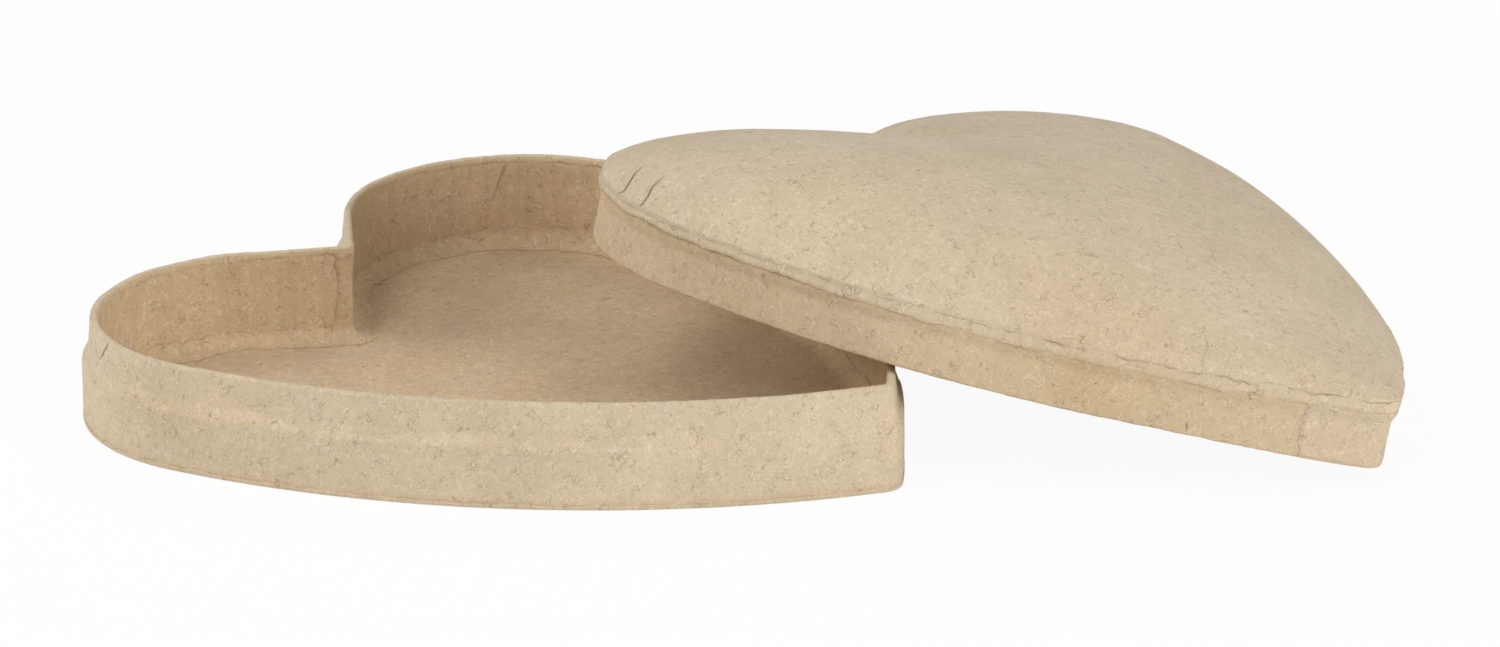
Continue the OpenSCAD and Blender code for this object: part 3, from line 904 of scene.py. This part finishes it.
# Floor, light and camera, in metres and watts
WHITE = (1.0, 1.0, 1.0, 1.0)
FLOOR_HALF, FLOOR_Z, FLOOR_PALE, FLOOR_WHITE = 6.0, -0.0003, 0.92, 0.94
FILL = 0.12
LAMP_DIST = 2.6
# Name, degrees turned from the camera's side, degrees up, size and power of each soft box
LAMPS = (("left", -90, 28, 1.3, 27), ("right", 55, 14, 1.0, 27), ("front_right", 38, 35, 1.3, 16),
         ("front_left", -30, 38, 1.3, 11), ("high_left", -60, 60, 1.3, 12.5), ("back", 180, 40, 1.5, 8),
         ("back_right", 140, 50, 1.5, 6))


def floor_paint():
    """Pale paint that the camera sees almost as white, with some of its shadows."""
    mat = bpy.data.materials.new("floor")
    mat.use_nodes = True
    net = Nodes(mat.node_tree)
    pale = net.add("ShaderNodeBsdfDiffuse", {"Color": (FLOOR_PALE, FLOOR_PALE, FLOOR_PALE, 1.0)})
    white = net.add("ShaderNodeEmission", {"Color": WHITE, "Strength": 1.0})
    rays = net.add("ShaderNodeLightPath", {}).outputs
    seen = net.maths("MAXIMUM", rays["Is Camera Ray"], rays["Is Glossy Ray"])
    both = net.add("ShaderNodeMixShader", {
        0: net.maths("MULTIPLY", seen, FLOOR_WHITE), 1: pale.outputs["BSDF"], 2: white.outputs["Emission"]})
    net.add("ShaderNodeOutputMaterial", {"Surface": both.outputs["Shader"]})
    return mat


def studio_world():
    """Soft fill all round, which the camera sees as white."""
    world = bpy.data.worlds.new("studio")
    world.use_nodes = True
    net = Nodes(world.node_tree)
    fill, white = (net.add("ShaderNodeBackground", {"Color": WHITE, "Strength": strength})
                   for strength in (FILL, 1.0))
    rays = net.add("ShaderNodeLightPath", {}).outputs
    both = net.add("ShaderNodeMixShader", {
        0: rays["Is Camera Ray"], 1: fill.outputs["Background"], 2: white.outputs["Background"]})
    net.add("ShaderNodeOutputWorld", {"Surface": both.outputs["Shader"]})
    return world


def face_object(made, azimuth, elevation, distance):
    """Puts a lamp or the camera at a distance from the object and turns it to face it."""
    made.location = AIM + distance * away(azimuth, elevation)
    made.rotation_euler = (AIM - made.location).to_track_quat("-Z", "Y").to_euler()
    bpy.context.scene.collection.objects.link(made)


ground = bpy.data.meshes.new("floor")
corners = ((-FLOOR_HALF, -FLOOR_HALF), (FLOOR_HALF, -FLOOR_HALF), (FLOOR_HALF, FLOOR_HALF),
           (-FLOOR_HALF, FLOOR_HALF))
ground.from_pydata([(x, y, FLOOR_Z) for x, y in corners], [], [(0, 1, 2, 3)])
ground.materials.append(floor_paint())
floor = bpy.data.objects.new("floor", ground)
bpy.context.scene.collection.objects.link(floor)

bpy.context.scene.world = studio_world()

for name, turn, elevation, size, power in LAMPS:
    soft_box = bpy.data.lights.new(name, "AREA")
    soft_box.shape = "DISK"
    soft_box.size = size
    soft_box.energy = power
    lamp = bpy.data.objects.new(name, soft_box)
    face_object(lamp, VIEW_AZ + math.radians(turn), math.radians(elevation), LAMP_DIST)

view = bpy.data.cameras.new("camera")
view.sensor_fit = "HORIZONTAL"
view.sensor_width = SENSOR_W
view.lens = LENS
view.clip_end = CLIP_END
camera = bpy.data.objects.new("camera", view)
face_object(camera, VIEW_AZ, VIEW_EL, VIEW_DIST)
bpy.context.scene.camera = camera
bpy.context.scene.view_settings.view_transform = "Standard"

bpy.context.view_layer.update()
